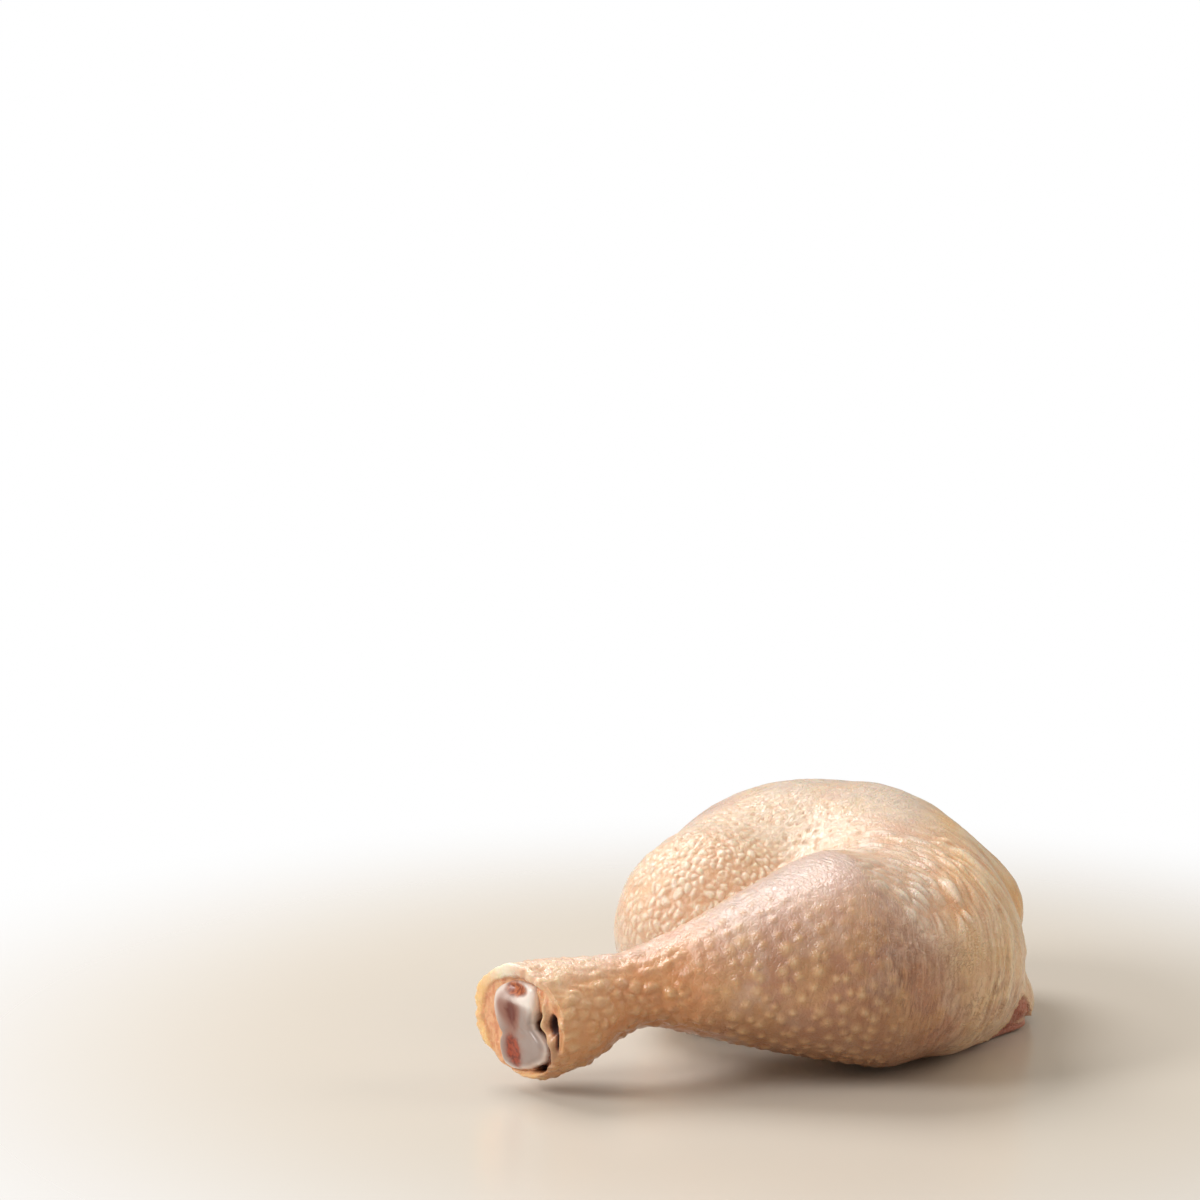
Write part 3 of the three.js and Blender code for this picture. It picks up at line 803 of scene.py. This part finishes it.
class Paint:
    """Builds one material from masks, noise and mixes."""

    def __init__(self, name):
        self.material = bpy.data.materials.new(name)
        self.material.use_nodes = True
        self.tree = self.material.node_tree
        self.shader = self.tree.nodes["Principled BSDF"]
        self.place = self.add("ShaderNodeTexCoord").outputs["Object"]

    def add(self, kind, **values):
        made = self.tree.nodes.new(kind)
        for name, value in values.items():
            setattr(made, name, value)
        return made

    def feed(self, socket, value):
        if isinstance(value, bpy.types.NodeSocket):
            self.tree.links.new(value, socket)
        else:
            socket.default_value = value

    def mask(self, name):
        return self.add("ShaderNodeAttribute", attribute_name=name).outputs["Fac"]

    def laid(self, stretch, turn, lay):
        """Coordinates stretched along turned directions: the piece's own, or those of a named
        attribute, which are in millimetres."""
        mapping = self.add("ShaderNodeMapping", vector_type="TEXTURE")
        mapping.inputs["Rotation"].default_value = [math.radians(t) for t in turn]
        mapping.inputs["Scale"].default_value = stretch
        at = self.place
        if lay is not None:
            at = self.add("ShaderNodeAttribute", attribute_name=lay).outputs["Vector"]
        self.feed(mapping.inputs["Vector"], at)
        return mapping.outputs["Vector"]

    def noise(self, size, detail=3.0, rough=0.55, stretch=(1, 1, 1), turn=(0, 0, 0), lay=None):
        """Noise with lumps of a size in millimetres."""
        made = self.add("ShaderNodeTexNoise")
        self.feed(made.inputs["Vector"], self.laid(stretch, turn, lay))
        made.inputs["Scale"].default_value = 1 / size if lay else 1 / (size * MM)
        made.inputs["Detail"].default_value = detail
        made.inputs["Roughness"].default_value = rough
        return made.outputs["Fac"]

    def net(self, size, stretch=(1, 1, 1), turn=(0, 0, 0), lay=None):
        """A net of cells of a size in millimetres: 0 on its lines, rising towards the middles."""
        made = self.add("ShaderNodeTexVoronoi", feature="DISTANCE_TO_EDGE")
        self.feed(made.inputs["Vector"], self.laid(stretch, turn, lay))
        made.inputs["Scale"].default_value = 1 / size if lay else 1 / (size * MM)
        return made.outputs["Distance"]

    def ramp(self, value, low, high, to_low=0.0, to_high=1.0):
        made = self.add("ShaderNodeMapRange", interpolation_type="SMOOTHSTEP")
        self.feed(made.inputs["Value"], value)
        made.inputs["From Min"].default_value = low
        made.inputs["From Max"].default_value = high
        made.inputs["To Min"].default_value = to_low
        made.inputs["To Max"].default_value = to_high
        return made.outputs["Result"]

    def math(self, kind, first, second):
        made = self.add("ShaderNodeMath", operation=kind)
        self.feed(made.inputs[0], first)
        self.feed(made.inputs[1], second)
        return made.outputs["Value"]

    def mix(self, below, above, share):
        made = self.add("ShaderNodeMix", data_type="RGBA")
        self.feed(made.inputs["Factor"], share)
        self.feed(made.inputs[6], below)
        self.feed(made.inputs[7], above)
        return made.outputs[2]

    def tint(self, below, above, mask, share=1.0):
        """A colour laid over another where a mask is, by a share."""
        where = self.mask(mask)
        if share < 1:
            where = self.math("MULTIPLY", where, share)
        return self.mix(below, above, where)

    def bump(self, height, distance, strength=1.0, below=None):
        made = self.add("ShaderNodeBump")
        made.inputs["Strength"].default_value = strength
        made.inputs["Distance"].default_value = distance * MM
        self.feed(made.inputs["Height"], height)
        if below is not None:
            self.feed(made.inputs["Normal"], below)
        return made.outputs["Normal"]

    def finish(self, base, normal, same_all_over):
        """Gives the shader its colour, its bumps, and the values that are the same all over."""
        self.feed(self.shader.inputs["Base Color"], base)
        self.feed(self.shader.inputs["Normal"], normal)
        self.feed(self.shader.inputs["Coat Normal"], normal)
        for name, value in same_all_over.items():
            self.shader.inputs[name].default_value = value
        return self.material


def streaks(paint):
    """Hair-fine streaks that follow the folds: rings on the calf, arcs at the knee, else slanting."""
    rings = paint.noise(0.8, 3, 0.6, stretch=(1, 5, 1), turn=(0, 0, 14), lay="round_calf")
    arcs = paint.noise(0.8, 3, 0.6, stretch=(1, 9, 3), lay="round_knee")
    slants = paint.noise(0.8, 3, 0.6, stretch=(6, 1, 3), turn=(0, 0, 48))
    streak = paint.mix(slants, arcs, paint.mask("knee"))
    return paint.mix(streak, rings, paint.mask("calf"))


def thigh_colour(paint, broad, mottle, streak):
    """Pale skin of the thigh, pinker where the meat shows through it and yellower at the knee."""
    thigh = paint.mix(colour(226, 206, 188), colour(214, 184, 166), paint.ramp(broad, 0.42, 0.6))
    thigh = paint.mix(thigh, colour(228, 196, 156), paint.ramp(mottle, 0.5, 0.72, 0, 0.6))
    thigh = paint.mix(thigh, colour(236, 216, 190), paint.ramp(streak, 0.52, 0.75, 0, 0.6))
    knee = paint.mix(colour(228, 186, 134), colour(208, 158, 118), paint.ramp(mottle, 0.42, 0.66))
    return paint.tint(thigh, knee, "warm", 0.85)


def calf_colour(paint, mottle, streak):
    """Darker skin over the calf's meat, pinker in patches, and painted paler on its crown as a sheen.
    """
    dark = paint.noise(13, 3, turn=(20, 0, 40))
    pinker = paint.noise(10, 3, turn=(0, 30, 10))
    calf = paint.mix(colour(208, 158, 112), colour(194, 142, 112), paint.ramp(mottle, 0.4, 0.6))
    calf = paint.mix(calf, colour(180, 122, 82), paint.ramp(dark, 0.48, 0.62, 0, 0.7))
    calf = paint.mix(calf, colour(212, 178, 156), paint.ramp(pinker, 0.5, 0.62, 0, 0.5))
    calf = paint.mix(calf, colour(228, 186, 146), paint.ramp(streak, 0.52, 0.75, 0, 0.5))
    # Painted sheen on the calf's crown
    return paint.tint(calf, colour(216, 193, 182), "crown", 0.85)


def skin_colour(paint, broad, mottle, patchy, streak):
    """Skin of the thigh, the calf and the shank, with its pores, bumps, folds and wrinkles, painted
    sheen and highlights on tops, and painted shade below and in creases.
    """
    thigh = thigh_colour(paint, broad, mottle, streak)
    calf = calf_colour(paint, mottle, streak)
    shank = paint.mix(colour(230, 180, 132), colour(214, 154, 110), paint.ramp(patchy, 0.4, 0.65))
    # Painted sheen: the shank's top paler and pinker
    pale = paint.mix(colour(238, 216, 202), colour(222, 182, 170), paint.ramp(mottle, 0.45, 0.65))
    skin = paint.tint(thigh, calf, "calf")
    skin = paint.tint(skin, shank, "shank", 0.85)
    skin = paint.tint(skin, colour(236, 198, 148), "cuff", 0.5)
    # Painted shade: browner low down, under the drumstick and in the calf's middle
    skin = paint.tint(skin, colour(154, 102, 64), "low", 0.72)
    skin = paint.tint(skin, pale, "pale", 0.9)
    skin = paint.tint(skin, colour(246, 219, 187), "goose", 0.8)
    skin = paint.mix(skin, colour(224, 182, 132), paint.ramp(paint.mask("pore"), 0.05, 0.6, 0, 0.45))
    skin = paint.mix(skin, colour(246, 220, 180), paint.ramp(paint.mask("pore"), 0.45, 0.85, 0, 0.35))
    # Painted highlight on the tops of bumps and plump ridges
    skin = paint.tint(skin, colour(250, 234, 214), "painted_bump_highlight", 0.75)
    skin = paint.tint(skin, colour(218, 144, 84), "groove", 0.65)
    # Painted highlight on the tops of folds
    skin = paint.tint(skin, colour(246, 222, 188), "fold", 0.75)
    # Painted highlight on the raised arcs
    skin = paint.tint(skin, colour(236, 212, 180), "wrinkle", 0.35)
    # Painted shade in the creases of the rings
    return paint.tint(skin, colour(150, 96, 70), "crease", 0.6)


def with_furrows(paint, skin, hairs, patchy):
    """Hair-fine lines of painted shade in the creases among the rings on the calf and the front of the
    knee.
    """
    furrow = paint.math("MULTIPLY", paint.math("SUBTRACT", 1.0, hairs), paint.mask("ringed"))
    furrow = paint.math("MULTIPLY", furrow, paint.ramp(patchy, 0.4, 0.6))
    return paint.mix(skin, colour(150, 98, 70), paint.math("MULTIPLY", furrow, 0.65))


def with_fat_and_rim(paint, skin):
    """Yellow fat at the knee, and the cut edge of the skin, painted paler on top as a highlight."""
    # Painted highlight: the rim paler where the shank's top is
    on_top = paint.ramp(paint.mask("pale"), 0.0, 0.5)
    edge = paint.mix(colour(250, 206, 142), colour(255, 244, 222), on_top)
    skin = paint.tint(skin, colour(236, 182, 112), "fat", 0.8)
    return paint.tint(skin, edge, "rim", 0.9)


def meat_colour(paint, mottle):
    """Meat, with paler membranes between its fibres and bundles, and darker beside the knee."""
    meat = paint.mix(colour(196, 118, 92), colour(144, 66, 48), paint.ramp(mottle, 0.42, 0.66))
    meat = paint.tint(meat, colour(220, 178, 152), "fibre", 0.6)
    meat = paint.tint(meat, colour(224, 190, 158), "seam", 0.8)
    return paint.tint(meat, colour(150, 68, 38), "wedge", 0.85)


def with_cut_hock(paint, skin):
    """Flesh and tendons in the cut hock, with painted shade on the flesh low between the tendons, and
    its holes painted dark as shade.
    """
    cords = paint.noise(1.5, 2, 0.5, stretch=(1, 1, 1.6))
    flesh = paint.mix(colour(238, 182, 136), colour(222, 150, 108), paint.ramp(cords, 0.42, 0.66))
    skin = paint.tint(skin, flesh, "tissue")
    skin = paint.tint(skin, colour(228, 190, 148), "tendon")
    # Painted shade on the flesh low on the right
    skin = paint.tint(skin, colour(160, 116, 82), "hock_shade", 0.75)
    # Painted shade: the holes and the gap beside the bone go dark brown, then nearly black
    skin = paint.mix(skin, colour(146, 84, 48), paint.ramp(paint.mask("hole"), 0.0, 0.4))
    return paint.mix(skin, colour(52, 14, 5), paint.ramp(paint.mask("hole"), 0.25, 0.85))


def fine_creases(paint, hairs, broad):
    """Bumps of hair-fine streaks, softer where the skin is plain, under a net of cells and a grain."""
    plain = paint.math("SUBTRACT", 0.85, paint.mask("ringed"))
    plain = paint.math("MULTIPLY", paint.mask("calf"), plain)
    plain = paint.math("MAXIMUM", plain, paint.ramp(broad, 0.4, 0.55, 0, 0.6))
    soft_here = paint.math("MAXIMUM", paint.mask("shank"), paint.mask("tissue"))
    soft_here = paint.math("MAXIMUM", soft_here, plain)
    ripples = paint.noise(0.75, 3, 0.6, stretch=(1, 3.5, 1), turn=(0, 0, -38), lay="round_calf")
    soft = paint.mix(paint.noise(1.2, 2), paint.ramp(ripples, 0.35, 0.65), paint.mask("crown"))
    net = paint.ramp(paint.net(1.3, stretch=(1, 1.4, 1)), 0.0, 0.25)
    normal = paint.bump(paint.mix(hairs, soft, soft_here), 0.14, 0.8)
    normal = paint.bump(net, 0.12, 0.4, normal)
    return paint.bump(paint.noise(0.45, 3, 0.6), 0.12, 0.6, normal)


def leg_material():
    """Wet see-through skin, bare meat and cut flesh, each where its mask is."""
    paint = Paint("raw_skin")
    mottle = paint.noise(9, 4)
    patchy = paint.noise(5, 3)
    broad = paint.noise(24, 3)
    streak = streaks(paint)
    hairs = paint.math("ABSOLUTE", paint.math("SUBTRACT", streak, 0.5), 0.0)
    hairs = paint.ramp(hairs, 0.0, 0.05)
    skin = skin_colour(paint, broad, mottle, patchy, streak)
    skin = with_furrows(paint, skin, hairs, patchy)
    skin = with_fat_and_rim(paint, skin)
    skin = paint.tint(skin, meat_colour(paint, mottle), "meat")
    skin = with_cut_hock(paint, skin)

    # Wettest on the calf, and dull in the holes of the hock
    dull = paint.math("MULTIPLY", paint.mask("hole"), 0.8)
    rough = paint.math("MAXIMUM", dull, paint.ramp(patchy, 0.35, 0.65, 0.26, 0.42))
    wet = paint.ramp(paint.mask("calf"), 0.0, 1.0, 0.55, 0.7)
    wet = paint.math("MULTIPLY", wet, paint.math("SUBTRACT", 1.0, paint.mask("hole")))
    paint.feed(paint.shader.inputs["Roughness"], rough)
    paint.feed(paint.shader.inputs["Coat Weight"], wet)
    return paint.finish(skin, fine_creases(paint, hairs, broad), {
        "Subsurface Weight": 0.3, "Subsurface Radius": (1.0, 0.42, 0.22),
        "Subsurface Scale": 1.6 * MM, "Coat Roughness": 0.3, "IOR": 1.45})


def bone_material():
    """Wet cartilage with painted highlights at its edges and corners, painted shade in its notch, a
    bruise, red marrow and a raw hollow.
    """
    paint = Paint("wet_cartilage")
    cloud = paint.noise(4, 3)
    speckle = paint.noise(1.1, 2)
    red = paint.mix(colour(166, 66, 34), colour(118, 42, 22), paint.ramp(speckle, 0.38, 0.62))
    raw = paint.mix(colour(196, 112, 66), colour(146, 70, 38), paint.ramp(speckle, 0.4, 0.6))
    base = paint.mix(colour(146, 127, 120), colour(156, 116, 98), paint.ramp(cloud, 0.45, 0.7))
    # Painted highlights on the joint face's edges and corners
    base = paint.tint(base, colour(246, 234, 226), "bone_highlight")
    base = paint.tint(base, colour(168, 116, 82), "side")
    base = paint.tint(base, colour(148, 92, 74), "stain", 0.85)
    base = paint.tint(base, colour(106, 36, 22), "bruise", 0.95)
    base = paint.tint(base, red, "marrow", 0.96)
    # Painted shade deep in the notch
    base = paint.tint(base, colour(70, 26, 14), "dark")
    base = paint.tint(base, raw, "hollow")
    sore = paint.math("MAXIMUM", paint.mask("marrow"), paint.mask("bruise"))
    paint.feed(paint.shader.inputs["Coat Weight"], paint.ramp(sore, 0.0, 1.0, 0.3, 0.0))
    return paint.finish(base, paint.bump(speckle, 0.1, 0.5), {
        "Roughness": 0.36, "Subsurface Weight": 0.3, "Subsurface Radius": (1.0, 0.6, 0.5),
        "Subsurface Scale": 1.5 * MM, "Coat Roughness": 0.25})


# The studio

CAMERA = {"at": (-2.06, -767.14, 215.94), "left": 2.77984, "down": 8.26505, "lens": 99.45}
SENSOR = 36

# Lights, all turned to one place: name, place and width in metres, watts, tint
LIGHTS = [
    ("overhead", (-0.42, 0.4, 0.78), 0.6, 6.4, (1.0, 0.98, 0.98)),
    ("left_front", (-0.8, -0.35, 0.55), 0.4, 5.4, (1.0, 0.98, 0.97)),
    ("right", (0.8, 0.0, 0.5), 0.5, 1.8, (1.0, 0.9, 0.76))]
LIT_PLACE = Vector((0, 0, 0.03))
ROOM = {"tint": (1.0, 0.93, 0.83, 1), "strength": 0.42}

# The floor's radius, its depth under the leg, and where it fades out, in metres
FLOOR = {"radius": 0.42, "under": 0.0002, "fade": (0.1, 0.26)}


def make_camera():
    data = bpy.data.cameras.new("camera")
    data.lens = CAMERA["lens"]
    data.sensor_width = SENSOR
    data.clip_start = 0.01
    camera = bpy.data.objects.new("camera", data)
    camera.location = Vector(CAMERA["at"]) * MM
    camera.rotation_euler = (math.radians(90 - CAMERA["down"]), 0, math.radians(CAMERA["left"]))
    bpy.context.scene.collection.objects.link(camera)
    bpy.context.scene.camera = camera


def make_light(name, at, size, watts, tint):
    data = bpy.data.lights.new(name, "AREA")
    data.shape = "DISK"
    data.size = size
    data.energy = watts
    data.color = tint
    light = bpy.data.objects.new(name, data)
    light.location = at
    light.rotation_euler = (LIT_PLACE - Vector(at)).to_track_quat("-Z", "Y").to_euler()
    bpy.context.scene.collection.objects.link(light)


def make_studio():
    """A warm soft room that looks white to the camera, three lights and a floor."""
    bpy.context.scene.view_settings.view_transform = "Standard"
    world = bpy.data.worlds.new("soft_room")
    world.use_nodes = True
    tree = world.node_tree
    room = tree.nodes["Background"]
    room.inputs["Color"].default_value = ROOM["tint"]
    room.inputs["Strength"].default_value = ROOM["strength"]
    white = tree.nodes.new("ShaderNodeBackground")
    white.inputs["Color"].default_value = (1.0, 1.0, 1.0, 1)
    seen = tree.nodes.new("ShaderNodeLightPath")
    either = tree.nodes.new("ShaderNodeMixShader")
    tree.links.new(seen.outputs["Is Camera Ray"], either.inputs["Fac"])
    tree.links.new(room.outputs["Background"], either.inputs[1])
    tree.links.new(white.outputs["Background"], either.inputs[2])
    tree.links.new(either.outputs["Shader"], tree.nodes["World Output"].inputs["Surface"])
    bpy.context.scene.world = world
    for light in LIGHTS:
        make_light(*light)
    make_floor()


def make_floor():
    """A pale disc that fades into the white room round it."""
    bpy.ops.mesh.primitive_circle_add(
        vertices=96, radius=FLOOR["radius"], fill_type="NGON", location=(0, 0, -FLOOR["under"]))
    floor = bpy.context.active_object
    floor.name = "floor"
    paint = Paint("pale_floor")
    paint.shader.inputs["Base Color"].default_value = colour(214, 207, 196)
    paint.shader.inputs["Roughness"].default_value = 0.25
    away = paint.add("ShaderNodeVectorMath", operation="LENGTH")
    paint.feed(away.inputs[0], paint.place)
    seen = paint.ramp(away.outputs["Value"], *FLOOR["fade"], 1.0, 0.0)
    paint.feed(paint.shader.inputs["Alpha"], seen)
    floor.data.materials.append(paint.material)


make_camera()
leg = make_leg()
leg.data.materials.clear()
leg.data.materials.append(leg_material())
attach(leg, "root")
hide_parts("leg_meat")

bone = make_bone()
bone.data.materials.clear()
bone.data.materials.append(bone_material())
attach(bone, "root")
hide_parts("shin_bone")

make_studio()
